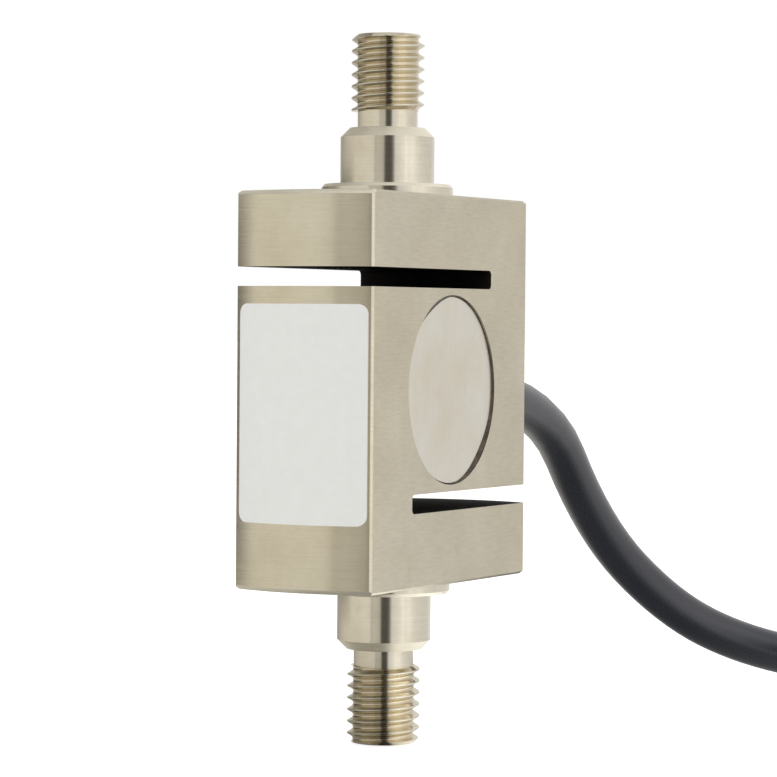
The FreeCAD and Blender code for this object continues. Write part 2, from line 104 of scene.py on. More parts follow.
def objectNoise(tree, scale, stretch=(1, 1, 1), detail=2.0, roughness=0.5):
    # a noise on Object coordinates, stretched along an axis where a grain runs
    mapping = addNode(tree, "ShaderNodeMapping", {"Vector": objectPlace(tree), "Scale": stretch})
    noise = addNode(tree, "ShaderNodeTexNoise", {
        "Vector": mapping.outputs["Vector"], "Scale": scale, "Detail": detail, "Roughness": roughness})
    return noise.outputs["Fac"]


def ramp(tree, factor, stops):
    node = addNode(tree, "ShaderNodeValToRGB", {"Fac": factor})
    elements = node.color_ramp.elements
    while len(elements) < len(stops):
        elements.new(0.5)
    for stop, (position, colour) in zip(elements, stops):
        stop.position = position
        stop.color = (*colour, 1.0)
    return node.outputs["Color"]


def twoTone(tree, factor, tones, low=0.3, high=0.7):
    return ramp(tree, factor, [(low, tones[0]), (high, tones[1])])


def greyRamp(tree, factor, stops):
    return ramp(tree, factor, [(position, (level, level, level)) for position, level in stops])


def mixColours(tree, factor, first, second, blend="MIX"):
    first, second = [colour if isinstance(colour, bpy.types.NodeSocket) else (*colour, 1.0)
                     for colour in (first, second)]
    node = addNode(tree, "ShaderNodeMix", {0: factor, 6: first, 7: second}, data_type="RGBA",
                   blend_type=blend)
    return node.outputs[2]


def mapRange(tree, value, low, high, fromLow=0.0, fromHigh=1.0):
    node = addNode(tree, "ShaderNodeMapRange", {
        "Value": value, "From Min": fromLow, "From Max": fromHigh, "To Min": low, "To Max": high})
    return node.outputs["Result"]


def maths(tree, operation, *values):
    return addNode(tree, "ShaderNodeMath", dict(enumerate(values)), operation=operation).outputs[0]


def vectorMaths(tree, operation, *values):
    node = addNode(tree, "ShaderNodeVectorMath", dict(enumerate(values)), operation=operation)
    return node.outputs["Value" if operation in ("LENGTH", "DISTANCE") else "Vector"]


def shaded(tree, colour, value):
    node = addNode(tree, "ShaderNodeHueSaturation", {"Color": colour, "Value": value})
    return node.outputs["Color"]


def lightOf(tree, colour, strength=1.0):
    return addNode(tree, "ShaderNodeEmission", {"Color": colour, "Strength": strength}).outputs[0]


def dressShader(tree, shader, colour, height, strength, depth, roughness=None):
    # colour, a bump of that strength and depth, and a roughness where it varies
    tree.links.new(colour, shader.inputs["Base Color"])
    bump = addNode(tree, "ShaderNodeBump", {"Height": height, "Strength": strength, "Distance": depth})
    tree.links.new(bump.outputs["Normal"], shader.inputs["Normal"])
    if roughness is not None:
        tree.links.new(roughness, shader.inputs["Roughness"])


def addObject(name, data):
    made = bpy.data.objects.new(name, data)
    scene.collection.objects.link(made)
    return made


def meshFrom(name, bm):
    mesh = bpy.data.meshes.new(name)
    bm.to_mesh(mesh)
    bm.free()
    return mesh


def addShell(bm, extra):
    mesh = meshFrom("extra", extra)
    bm.from_mesh(mesh)
    bpy.data.meshes.remove(mesh)


def spinAround(bm, geom, steps, axis=(0, 0, 1), sweep=math.tau):
    bmesh.ops.spin(bm, geom=geom, cent=(0, 0, 0), axis=axis, angle=sweep, steps=steps,
                   use_merge=sweep == math.tau)


def closedRing(bm, places):
    verts = [bm.verts.new(place) for place in places]
    return verts, [bm.edges.new(pair) for pair in zip(verts, verts[1:] + verts[:1])]


def alignNormals(bm):
    bmesh.ops.recalc_face_normals(bm, faces=bm.faces)


def bevel(bm, geom, offset, segments, affect="EDGES"):
    bmesh.ops.bevel(bm, geom=geom, offset=offset, segments=segments, affect=affect, profile=0.5,
                    material=-1)


def newPiece(name, bm, material, smoothAngle=32.0):
    # turns a bmesh into a finished piece that rides on the one body
    for face in bm.faces:
        face.smooth = True
    for edge in bm.edges:
        edge.smooth = len(edge.link_faces) == 2 and edge.calc_face_angle(0.0) < math.radians(smoothAngle)
    piece = addObject(name, meshFrom(name, bm))
    if material is not None:
        piece.data.materials.append(material)
    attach(piece, "root")
    return piece


def nodeCopy(name):
    # a CAD node's mesh is loose triangles, so a copy is merged before it is shaded or cut
    bm = bmesh.new()
    bm.from_mesh(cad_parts[name].data)
    bmesh.ops.remove_doubles(bm, verts=bm.verts, dist=mergeDistance)
    return bm


def finishedNode(name, material, smoothAngle=32.0):
    # a smooth shaded stand-in of the same shape
    piece = newPiece(name + "Finished", nodeCopy(name), material, smoothAngle)
    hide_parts(name)
    return piece


def dressNode(name, material):
    # a hidden or flat sided node keeps its own mesh and takes a better material
    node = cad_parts[name]
    node.data.materials.clear()
    node.data.materials.append(material)


# camera and studio
camera = {
    "azimuth": -62.06,  # degrees, 0 looks along +y
    "distance": 343.7 * mm,
    "sideways": 0.31 * mm,
    "height": 45.2 * mm,
    "pitchDown": 1.23,
    "roll": 0.455,
    "focalPixels": 3226.0,
    "framePixels": 777.0,
    "sensor": 36.0,
    "nearest": 0.01,
    "farthest": 50,
}


def makeCamera():
    azimuth = math.radians(camera["azimuth"])
    back = Vector((math.sin(azimuth), -math.cos(azimuth), 0))
    right = Vector((math.cos(azimuth), math.sin(azimuth), 0))
    pitch = math.radians(camera["pitchDown"])
    roll = math.radians(camera["roll"])
    forward = -back * math.cos(pitch) - Vector((0, 0, 1)) * math.sin(pitch)
    up = right.cross(forward)
    rolledRight = right * math.cos(roll) + up * math.sin(roll)
    rolledUp = up * math.cos(roll) - right * math.sin(roll)
    place = back * camera["distance"] + right * camera["sideways"] + Vector((0, 0, camera["height"]))
    turn = Matrix((rolledRight, rolledUp, -forward)).transposed().to_4x4()
    data = bpy.data.cameras.new("photoCamera")
    data.sensor_width = camera["sensor"]
    data.lens = camera["focalPixels"] / camera["framePixels"] * camera["sensor"]
    data.clip_start = camera["nearest"]
    data.clip_end = camera["farthest"]
    scene.camera = addObject("photoCamera", data)
    scene.camera.matrix_world = Matrix.Translation(place) @ turn


studio = {
    "diffuseLight": 0.98,  # what the white surround gives to matt surfaces
    "glossySky": (0.66, 0.78),  # and what polished ones see above the tent: its rim, straight up
    "glossyFrom": (0.86, 0.97),  # upward parts of the direction at those two
    "floorRadius": 6.0,
    "floorWhite": 0.78,  # share of the floor's white that no shadow takes
    "floorColour": (0.48, 0.48, 0.48, 1.0),
    "floorCloud": (9.0, 0.98, 1.0),  # scale of a faint unevenness, its darkest and lightest
    "tentRadius": 0.62,
    "tentHeight": 1.2,
    "tentSteps": 72,
    "tentWarm": (1.0, 0.965, 0.885),  # its light where the warmth is 1, and white where it is 0
    # the tent by angle from the camera, in degrees, growing to the picture's right: brightness, warmth
    "tentBands": [
        (-180, 0.80, 1.0), (-156, 0.45, 1.0), (-139, 0.50, 1.0), (-126, 0.64, 1.0), (-108, 0.77, 1.0),
        (-100, 0.82, 1.0), (-67, 0.84, 1.0), (-50, 0.88, 0.7), (-38, 0.86, 0.7), (-32.5, 0.84, 0.8),
        (-30.5, 0.58, 0.8), (-28.5, 0.60, 0.8), (-26, 0.68, 0.7), (-17, 0.64, 0.8), (-11, 0.60, 0.8),
        (-8, 0.46, 0.8), (-5.5, 0.10, 0.6), (10, 0.10, 0.6), (15, 0.30, 0.5), (19, 0.86, 0.1),
        (30, 0.92, 0.0), (42, 1.06, 0.2), (47, 1.24, 0.3), (52, 1.10, 0.3), (64, 1.18, 0.2),
        (76, 1.00, 0.3), (90, 0.90, 0.2), (106, 0.84, 0.1), (134, 0.81, 0.2), (150, 0.88, 0.1),
        (180, 0.80, 1.0)],
    # how much of that is left well above and below eye level, where the threads' flanks look
    "tentShade": [
        (-180, 1.0), (-150, 0.9), (-125, 0.42), (-60, 0.34), (-8, 0.30), (16, 0.5), (30, 1.05),
        (130, 1.05), (180, 1.0)],
    "shadeHeights": (0.18, 0.32),  # the shade comes in between these on the tent
    "shadeReach": (0.05, 0.085),  # and between these on the floor, from the axis
    "patchCentre": (-0.044, 0.024, 0.0),  # on the floor below the lead, x towards the camera
    "patchLevel": 0.2,
    "patchFade": (0.014, 0.042),
    # a lighter ring of floor under the body's rims: share of its reach from the axis, brightness
    "rimGlow": [(0.30, 1.0), (0.45, 1.9), (0.78, 1.9), (0.92, 1.0)],
    "rimGlowReach": 0.04,
    "overheadPower": 1.6,
    "overheadSize": 0.5,
    "overheadPlace": (-0.12, -0.06, 0.7),
}

flag = {
    "radius": 0.15,
    "low": 0.004,
    "high": 0.066,
    "from": -150,  # degrees from the camera, as for the tent
    "to": -84,
    "steps": 24,
    "tint": (1.0, 0.97, 0.90),
    "fade": [(0.0, 0.10), (0.60, 0.12), (0.78, 0.20), (0.85, 0.36), (0.90, 0.52), (0.95, 0.68), (1.0, 0.86)],
}


def turnShare(tree, fromAngle, toAngle):
    # grows from 0 to 1 with the angle about the object's own axis, in radians
    axes = axesOf(tree)
    return mapRange(tree, maths(tree, "ARCTAN2", axes["Y"], axes["X"]), 0.0, 1.0, fromAngle, toAngle)


def bandGlow(tree, offLevel, strength=1.0):
    # the tent's bands as light, by angle; offLevel runs from 0 to 1
    share = turnShare(tree, -math.pi, math.pi)
    stops = [((degrees + 180) / 360, [level * (1 + (warm - 1) * warmth) for warm in studio["tentWarm"]])
             for degrees, level, warmth in studio["tentBands"]]
    shades = [((degrees + 180) / 360, level) for degrees, level in studio["tentShade"]]
    colour = mixColours(tree, offLevel, ramp(tree, share, stops), greyRamp(tree, share, shades), "MULTIPLY")
    return lightOf(tree, colour, strength)


def glowMaterial(name):
    # a material of light alone, its tree and where the light goes
    material, tree = startMaterial(name, {})[:2]
    tree.nodes.clear()
    return material, tree, addNode(tree, "ShaderNodeOutputMaterial").inputs["Surface"]


def uprightWall(radius, low, high, steps, start=0.0, sweep=math.tau):
    # an upright line turned about z
    bm = bmesh.new()
    ends = [bm.verts.new((radius, 0, z)) for z in (low, high)]
    line = bm.edges.new(ends)
    bmesh.ops.rotate(bm, cent=(0, 0, 0), matrix=Matrix.Rotation(start, 3, "Z"), verts=ends)
    spinAround(bm, ends + [line], steps, sweep=sweep)
    return bm


def addStage(name, bm, material, onlyMirrored):
    made = addObject(name, meshFrom(name, bm))
    made.data.materials.append(material)
    made.rotation_euler.z = math.radians(camera["azimuth"] - 90)  # its own x axis points at the camera
    if onlyMirrored:
        made.visible_camera = False
        made.visible_diffuse = False
        made.visible_shadow = False


def makeTent():
    # a round screen behind the camera, seen only in reflections
    material, tree, surface = glowMaterial("tentWall")
    height = axesOf(tree)["Z"]
    light = bandGlow(tree, mapRange(tree, height, 0.0, 1.0, *studio["shadeHeights"]))
    tree.links.new(light, surface)
    wall = uprightWall(studio["tentRadius"], 0, studio["tentHeight"], studio["tentSteps"])
    addStage("tentWall", wall, material, True)


def makeFlag():
    # a dark card that only the left side of the round end mirrors
    start, end = math.radians(flag["from"]), math.radians(flag["to"])
    material, tree, surface = glowMaterial("darkFlag")
    stops = [(position, [level * tint for tint in flag["tint"]]) for position, level in flag["fade"]]
    colour = ramp(tree, turnShare(tree, start, end), stops)
    tree.links.new(lightOf(tree, colour), surface)
    wall = uprightWall(flag["radius"], flag["low"], flag["high"], flag["steps"], start, end - start)
    addStage("darkFlag", wall, material, True)


def seenThrough(tree, path):
    # 1 for what the camera sees, also through clear things
    return maths(tree, "MAXIMUM", path["Is Camera Ray"], path["Is Transmission Ray"])


def makeFloor():
    material, tree, shader = startMaterial("paleFloor", {"Roughness": 0.9, "Specular IOR Level": 0.1})
    cloudScale, darkest, lightest = studio["floorCloud"]
    shade = mapRange(tree, objectNoise(tree, cloudScale), darkest, lightest)
    tree.links.new(shaded(tree, studio["floorColour"], shade), shader.inputs["Base Color"])
    path = addNode(tree, "ShaderNodeLightPath").outputs
    white = mapRange(tree, seenThrough(tree, path), 0.0, studio["floorWhite"])
    glow = lightOf(tree, (1, 1, 1, 1), white)
    both = addNode(tree, "ShaderNodeAddShader", {0: shader.outputs[0], 1: glow})
    # polished pieces see the tent's bands go on below them, not the white floor, and the lead's
    # underside sees a dark patch
    place = objectPlace(tree)
    reach = vectorMaths(tree, "LENGTH", place)
    away = vectorMaths(tree, "DISTANCE", place, studio["patchCentre"])
    patch = mapRange(tree, away, studio["patchLevel"], 1.0, *studio["patchFade"])
    ring = greyRamp(tree, mapRange(tree, reach, 0.0, 1.0, 0.0, studio["rimGlowReach"]), studio["rimGlow"])
    bands = bandGlow(tree, mapRange(tree, reach, 1.0, 0.0, *studio["shadeReach"]),
                     maths(tree, "MULTIPLY", patch, ring))
    mirrored = addNode(tree, "ShaderNodeMixShader",
                       {0: path["Is Glossy Ray"], 1: both.outputs[0], 2: bands})
    tree.links.new(mirrored.outputs[0], tree.nodes["Material Output"].inputs["Surface"])
    disc = bmesh.new()
    bmesh.ops.create_circle(disc, cap_ends=True, segments=64, radius=studio["floorRadius"])
    addStage("floor", disc, material, False)


def makeWorld():
    world = bpy.data.worlds.new("whiteSurround")
    scene.world = world
    world.use_nodes = True
    tree = world.node_tree
    tree.nodes.clear()
    path = addNode(tree, "ShaderNodeLightPath").outputs
    matt = mapRange(tree, seenThrough(tree, path), studio["diffuseLight"], 1.0)
    direction = addNode(tree, "ShaderNodeTexCoord").outputs["Generated"]
    polished = mapRange(tree, axesOf(tree, direction)["Z"], *studio["glossySky"], *studio["glossyFrom"])
    strength = addNode(tree, "ShaderNodeMix", {0: path["Is Glossy Ray"], 2: matt, 3: polished},
                       data_type="FLOAT")
    sky = addNode(tree, "ShaderNodeBackground", {"Color": (1, 1, 1, 1), "Strength": strength.outputs[0]})
    out = addNode(tree, "ShaderNodeOutputWorld")
    tree.links.new(sky.outputs[0], out.inputs["Surface"])


def makeOverhead():
    data = bpy.data.lights.new("overheadSoftbox", "AREA")
    data.shape = "DISK"
    data.size = studio["overheadSize"]
    data.energy = studio["overheadPower"]
    lamp = addObject("overheadSoftbox", data)
    lamp.location = studio["overheadPlace"]
    lamp.visible_camera = False
    lamp.visible_glossy = False


scene.view_settings.view_transform = "Standard"
makeCamera()
makeWorld()
makeTent()
makeFlag()
makeFloor()
makeOverhead()
print("camera and studio ready")


# cable
cable = {
    "diameter": 5.0 * mm,
    "length": 3.0,
    "exit": (23.65 * mm, 0.0, 37.8 * mm),
    # the route's points are in millimetres, and so is the coil
    "leadPoints": [
        (11.4, 0.0, 37.8), (37.5, 0.0, 37.8), (56.5, 1.1, 19.8), (65.8, -5.0, 9.7), (71.9, -12.8, 4.8),
        (76.8, -24.6, 2.5), (79.0, -41.0, 2.5), (78.6, -57.6, 2.7), (76.6, -73.4, 3.3)],
    "tailPoints": [
        (61.4, -61.9, 18.6), (70.3, -73.0, 18.6), (73.0, -86.9, 18.8), (69.0, -100.5, 19.1),
        (59.2, -110.8, 19.2)],
    "coilCentre": (37.1, -80.0),
    "innerRadius": 20.0,
    "columnPitch": 5.1,
    "columns": 5,
    "layerPitch": 5.1,
    "layers": 4,
    "firstLayerZ": 3.3,
    "climbTurns": 0.3,
    "pointsPerTurn": 18,
    "easedPoints": 6,  # over these at each end the coil runs in from the lead and out to the tail
    "wander": 0.12,  # how far a turn strays from a true spiral
    "wanderRate": 4.1,
    "wanderStart": 0.7,
    "jacket": ((0.015, 0.017, 0.026), (0.021, 0.023, 0.034)),
    "jacketRoughness": (0.22, 0.34),
}
jacketRadius = cable["diameter"] / mm / 2


def aboutCoil(place):
    # angle about the coil's axis in radians, and distance from it
    cx, cy = cable["coilCentre"]
    return math.atan2(place[1] - cy, place[0] - cx), math.hypot(place[0] - cx, place[1] - cy)


def coilPoints():
    # full layers wound in and out, each with a climb after it, then two turns on top
    turns = cable["columns"] - 1
    inner = cable["innerRadius"]
    outer = inner + turns * cable["columnPitch"]
    levels = [cable["firstLayerZ"] + i * cable["layerPitch"] for i in range(cable["layers"])]
    cx, cy = cable["coilCentre"]
    startAngle, startRadius = aboutCoil(cable["leadPoints"][-1])
    endAngle, endRadius = aboutCoil(cable["tailPoints"][0])
    climb = cable["climbTurns"]
    # turns, radius at the start and the end, layer at the start and the end
    stages = [(turns, startRadius, inner, 0, 0), (climb, inner, inner, 0, 1), (turns, inner, outer, 1, 1),
              (climb, outer, outer, 1, 2), (turns, outer, inner, 2, 2), (climb, inner, inner, 2, 3)]
    wound = sum(stage[0] for stage in stages)
    short = ((startAngle - endAngle) / math.tau - wound) % 1.0
    stages.append((2.0 + short if short < 0.5 else 1.0 + short, inner, endRadius, 3, 3))
    total = sum(stage[0] for stage in stages)
    count = round(total * cable["pointsPerTurn"])
    swell = 1 / math.cos(math.pi / cable["pointsPerTurn"])  # the spline runs inside its points by this much
    points = []
    for i in range(1, count):
        turned = total * i / count
        rest = turned
        for length, radiusFrom, radiusTo, levelFrom, levelTo in stages:
            if rest <= length:
                break
            rest -= length
        share = min(rest / length, 1.0)
        eased = share * share * (3 - 2 * share)
        radius = radiusFrom + (radiusTo - radiusFrom) * share
        z = levels[levelFrom] + (levels[levelTo] - levels[levelFrom]) * eased
        angle = startAngle - turned * math.tau
        radius += cable["wander"] * math.sin(turned * cable["wanderRate"] + cable["wanderStart"])
        fade = min(1.0, i / cable["easedPoints"], (count - i) / cable["easedPoints"])
        reach = radius * (1 + (swell - 1) * fade)
        points.append((cx + reach * math.cos(angle), cy + reach * math.sin(angle), z))
    return points


def jacketMaterial():
    look = {"Roughness": 0.28, "Specular IOR Level": 0.72, "Coat Weight": 0.1, "Coat Roughness": 0.14}
    material, tree, shader = startMaterial("cableJacket", look)
    colour = twoTone(tree, objectNoise(tree, 160, detail=3), cable["jacket"])
    fine = objectNoise(tree, 5200)
    dressShader(tree, shader, colour, fine, 0.25, 0.02 * mm, mapRange(tree, fine, *cable["jacketRoughness"]))
    return material


def nurbsCord(name, points, radius, material, steps=8):
    data = bpy.data.curves.new(name, "CURVE")
    data.dimensions = "3D"
    data.resolution_u = steps
    data.bevel_depth = radius
    data.bevel_resolution = 7
    data.use_fill_caps = True
    spline = data.splines.new("NURBS")
    spline.points.add(len(points) - 1)
    for point, place in zip(spline.points, points):
        point.co = (*(size * mm for size in place), 1)
    spline.order_u = 3
    spline.use_endpoint_u = True
    data.materials.append(material)
    cord = addObject(name, data)
    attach(cord, "root")
    return cord


cableRoute = cable["leadPoints"] + coilPoints() + cable["tailPoints"]
cableCord = nurbsCord("cable", cableRoute, cable["diameter"] / 2, jacketMaterial())
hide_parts("cable_lead", "cable_coil", "cable_tail")
print("cable laid:", len(cableRoute), "points")


# steel element
thread = {
    "pitch": 1.25 * mm,
    "crestRadius": 3.88 * mm,
    "rootRadius": 3.24 * mm,
    "crestFlat": 0.13 * mm,
    "rootFlat": 0.34 * mm,
    "rootRounding": 0.14 * mm,
    "crestRounding": 0.04 * mm,
    "roundingCuts": 3,
    "shortestFlank": 0.4 * mm,
    "flankCuts": 5,
    "stepsPerTurn": 60,
    "tipChamfer": 0.55 * mm,
    "upperPhase": 0.73 * mm,  # height of a crest at angle zero, counted from the lower tip
    "lowerPhase": 0.68 * mm,
    "tintFade": 0.2 * mm,
}

steel = {
    "turned": {
        "tones": ((0.620, 0.565, 0.440), (0.700, 0.650, 0.525)), "patchScale": 150,
        "grain": (200, 200, 6500), "grainShade": 0.07, "roughness": (0.19, 0.26), "bump": 0.06,
        "anisotropic": 0.7},
    "ground": {
        "tones": ((0.560, 0.512, 0.405), (0.630, 0.584, 0.470)), "patchScale": 110,
        "grain": (500, 500, 4600), "grainShade": 0.11, "roughness": (0.36, 0.46), "bump": 0.10,
        "anisotropic": 0.25},
    "stud": {
        "tones": ((0.650, 0.598, 0.490), (0.740, 0.692, 0.580)), "patchScale": 260,
        "grain": (120, 120, 7000), "grainShade": 0.05, "roughness": (0.11, 0.17), "bump": 0.05,
        # the root tint is painted shade in the threads' roots
        "anisotropic": 0.35, "rootShadeTint": (0.925, 0.88, 0.785)},
    "cover": {
        "tones": ((0.690, 0.632, 0.518), (0.770, 0.748, 0.692)), "patchScale": 75,
        "grain": (2600, 300, 90), "grainShade": 0.02, "roughness": (0.26, 0.36), "bump": 0.04,
        "anisotropic": 0.0},
    # much lighter tones than the rest of the steel: a painted highlight on the bevels of the round ends'
    # rims and the collars' chamfers
    "rim": {
        "tones": ((0.860, 0.810, 0.680), (0.940, 0.900, 0.770)), "patchScale": 260,
        "grain": (200, 200, 5200), "grainShade": 0.05, "roughness": (0.44, 0.54), "bump": 0.05,
        "anisotropic": 0.0},
}

# what all the steel shares: warm clouds and fine specks
patina = {
    "cloudScale": 45,
    "cloudTint": (0.985, 0.955, 0.88),
    "speckScale": 1500,
    "speckTint": (0.72, 0.70, 0.66),
}


def rootShadeDepth(tree):
    # how deep in the threads' roots, where painted shade darkens and warms the steel
    place = objectPlace(tree)
    reach = vectorMaths(tree, "LENGTH", vectorMaths(tree, "MULTIPLY", place, (1, 1, 0)))
    depth = mapRange(tree, reach, 1.0, 0.0, thread["rootRadius"], thread["crestRadius"] - thread["tintFade"])
    height = maths(tree, "SUBTRACT", axesOf(tree, place)["Z"], centreZ)
    start = element["undercutTop"] - centreZ
    threaded = mapRange(tree, maths(tree, "ABSOLUTE", height), 0.0, 1.0, start - thread["tintFade"],
                        start + thread["tintFade"])
    return maths(tree, "MULTIPLY", depth, threaded)


def steelMaterial(name):
    finish = steel[name]
    look = {"Metallic": 1.0, "Anisotropic": finish["anisotropic"], "Anisotropic Rotation": 0.25}
    material, tree, shader = startMaterial(name + "Steel", look)
    patches = objectNoise(tree, finish["patchScale"], detail=4, roughness=0.6)
    clouds = mapRange(tree, objectNoise(tree, patina["cloudScale"]), 0.0, 0.55, 0.42, 0.75)
    grain = objectNoise(tree, 1.0, stretch=finish["grain"], detail=3, roughness=0.7)
    specks = mapRange(tree, objectNoise(tree, patina["speckScale"]), 0.0, 0.12, 0.55, 0.8)
    base = twoTone(tree, patches, finish["tones"], 0.32, 0.68)
    warmed = mixColours(tree, clouds, base, patina["cloudTint"], "MULTIPLY")
    lines = mapRange(tree, grain, 1 - finish["grainShade"], 1 + finish["grainShade"], 0.25, 0.75)
    colour = mixColours(tree, specks, shaded(tree, warmed, lines), patina["speckTint"], "MULTIPLY")
    # painted shade: the threads' roots darkened and warmed
    if "rootShadeTint" in finish:
        colour = mixColours(tree, rootShadeDepth(tree), colour, finish["rootShadeTint"], "MULTIPLY")
    dressShader(tree, shader, colour, grain, finish["bump"], 0.03 * mm,
                mapRange(tree, grain, *finish["roughness"], 0.3, 0.7))
    tangent = addNode(tree, "ShaderNodeTangent", direction_type="RADIAL", axis="Z")
    tree.links.new(tangent.outputs["Tangent"], shader.inputs["Tangent"])
    return material


# the cut surfaces that aren't bright: the slots' walls, painted near black for the shade deep in them, and
# the narrow wall of the cover's recess, darker towards the bottom
cuts = {
    # near black tones: painted shade deep in the slots
    "slotShade": ((0.004, 0.003, 0.004), (0.014, 0.010, 0.008)),
    "hairline": (0.10, 0.09, 0.08),
    "darkerLow": ((0.040, 0.026, 0.012), (0.17, 0.125, 0.065)),
    "bare": ((0.26, 0.235, 0.18), (0.42, 0.38, 0.30)),
    "darkerBelow": -4 * mm,  # from the centre; bare from the second height up
    "bareAbove": 6 * mm,
}


def slotMaterial():
    # the walls that the wire left: their dull dark grey deepened to near black, painted shade deep in the
    # narrow slots, with a few pale hairlines
    material, tree, shader = startMaterial("slotCut", {"Roughness": 0.75, "Specular IOR Level": 0.12})
    slotShade = objectNoise(tree, 420, detail=3)
    lines = objectNoise(tree, 1.0, stretch=(300, 900, 60), detail=5, roughness=0.8)
    # painted shade: the slot walls near black
    base = twoTone(tree, slotShade, cuts["slotShade"], 0.35, 0.75)
    colour = mixColours(tree, mapRange(tree, lines, 0.0, 0.5, 0.66, 0.80), base, cuts["hairline"])
    dressShader(tree, shader, colour, slotShade, 0.3, 0.04 * mm)
    return material


def recessMaterial():
    # bare at the top, darker and browner lower down
    material, tree, shader = startMaterial("recessWall", {"Metallic": 0.6, "Roughness": 0.5})
    mottle = objectNoise(tree, 380, detail=4)
    darkerLow, bare = twoTone(tree, mottle, cuts["darkerLow"]), twoTone(tree, mottle, cuts["bare"])
    height = mapRange(tree, axesOf(tree)["Z"], 0.0, 1.0,
                      centreZ + cuts["darkerBelow"], centreZ + cuts["bareAbove"])
    dressShader(tree, shader, mixColours(tree, height, darkerLow, bare), mottle, 0.2, 0.04 * mm)
    return material


def threadShell(low, high, phase, tipAbove):
    # one pitch of the profile, screwed up the stud, trimmed at both ends and chamfered at the tip
    pitch = thread["pitch"]
    crest, root = thread["crestRadius"], thread["rootRadius"]
    rootEnd, crestStart = thread["rootFlat"] / 2, (pitch - thread["crestFlat"]) / 2
    outline = [(root, 0), (root, rootEnd), (crest, crestStart), (crest, pitch - crestStart),
               (root, pitch - rootEnd), (root, pitch)]
    bm = bmesh.new()
    corners = [bm.verts.new((radius, 0, z)) for radius, z in outline]
    for pair in zip(corners, corners[1:]):
        bm.edges.new(pair)
    for rounded, size in (((1, 4), thread["rootRounding"]), ((2, 3), thread["crestRounding"])):
        bevel(bm, [corners[i] for i in rounded], size, thread["roundingCuts"], "VERTICES")
    flanks = [edge for edge in bm.edges if edge.calc_length() > thread["shortestFlank"]]
    bmesh.ops.subdivide_edges(bm, edges=flanks, cuts=thread["flankCuts"])
    # it starts and ends over a pitch outside what is kept
    firstCrest = phase + pitch * math.floor((low - phase) / pitch - 1.5)
    turns = math.ceil((high - low) / pitch) + 4
    bmesh.ops.translate(bm, vec=(0, 0, firstCrest - pitch / 2), verts=bm.verts)
    bmesh.ops.spin(bm, geom=bm.verts[:] + bm.edges[:], cent=(0, 0, 0), axis=(0, 0, 1),
                   dvec=(0, 0, pitch / thread["stepsPerTurn"]), angle=turns * math.tau,
                   steps=turns * thread["stepsPerTurn"])
    bmesh.ops.remove_doubles(bm, verts=bm.verts, dist=2 * hair)
    for level, outwards in ((low, -1), (high, 1)):
        bmesh.ops.bisect_plane(bm, geom=bm.verts[:] + bm.edges[:] + bm.faces[:], dist=mergeDistance,
                               plane_co=(0, 0, level), plane_no=(0, 0, outwards), clear_outer=True)
    tip, inwards = (high, -1) if tipAbove else (low, 1)
    for vert in bm.verts:
        limit = crest - thread["tipChamfer"] + (vert.co.z - tip) * inwards
        reach = vert.co.xy.length
        if reach > limit:
            vert.co.xy *= limit / reach
    bmesh.ops.holes_fill(bm, edges=openRim(bm, tip), sides=0)
    return bm


def openRim(bm, level):
    return [edge for edge in bm.edges if edge.is_boundary
            and all(abs(vert.co.z - level) < hair for vert in edge.verts)]


def onBody(z, margin=hair):
    return element["bodyLow"] - margin < z < element["bodyHigh"] + margin


def bevelRims(bm):
    # the model breaks every edge alike; the rims of the round ends have a wider turned bevel
    foot = element["barRadius"] - element["rimWidth"]
    cornerX = math.sqrt(foot ** 2 - element["flatY"] ** 2)
    for side in (-1, 1):
        body = [face for face in bm.faces if onBody(face.calc_center_median().z)]
        parts = dict.fromkeys(part for face in body for part in [face, *face.edges, *face.verts])
        bmesh.ops.bisect_plane(bm, geom=list(parts), dist=mergeDistance, plane_co=(side * cornerX, 0, 0),
                               plane_no=(1, 0, 0))
    margin = 0.05 * mm
    for vert in bm.verts:
        above = vert.co.z > centreZ
        depth = element["bodyHigh"] - vert.co.z if above else vert.co.z - element["bodyLow"]
        reach = vert.co.xy.length
        if reach < foot + margin or not -hair < depth < element["edgeBreak"]:
            continue
        if depth < 10 * hair:
            vert.co.xy *= foot / reach
        else:
            wanted = element["rimHeight"] * (reach - foot) / element["rimWidth"]
            lowered = max(wanted - depth, 0.0)
            vert.co.z += -lowered if above else lowered


# in the order of the element's material slots
elementFinishes = ["turned", "ground", "stud", "slot", "recess", "rim"]


def elementFinish(face):
    middle = face.calc_center_median()
    height = middle.z - centreZ
    margin = 0.02 * mm
    sloping = 0.3 < abs(face.normal.z) < 0.95
    if not onBody(middle.z, margin):
        onCollar = centreZ + abs(height) < element["undercutTop"] - margin
        # the collars' sloping chamfers take the lighter rim steel, a painted highlight
        return "rim" if sloping and onCollar and middle.xy.length > thread["crestRadius"] else "stud"
    inBar = middle.xy.length < element["barRadius"] - 0.1 * mm and abs(middle.y) < element["flatY"] - margin
    side = 1 if height > 0 else -1
    inSlot = abs(abs(height) - element["slotMiddle"]) < element["slotHalf"] + margin
    if inBar and inSlot and middle.x * side < element["slotClosedX"] + margin:
        return "slot"
    if inBar and math.hypot(middle.x, height) < element["recessRadius"] + margin:
        return "recess"
    # the bevels on the body's rims take the lighter rim steel, a painted highlight
    if sloping and middle.xy.length > element["barRadius"] - element["rimWidth"] - margin:
        return "rim"
    if abs(face.normal.y) > 0.9 or sloping and abs(face.normal.y) > 0.3:
        return "ground"
    return "turned"


def softenBodyEdges(mesh):
    # the broken edges of the body shade smoothly into both faces, so that they catch a thin light
    bm = bmesh.new()
    bm.from_mesh(mesh)
    for edge in bm.edges:
        if (all(onBody(vert.co.z) for vert in edge.verts) and len(edge.link_faces) == 2
                and edge.calc_face_angle(0.0) < math.radians(element["softAngle"])):
            edge.smooth = True
    bm.to_mesh(mesh)
    bm.free()


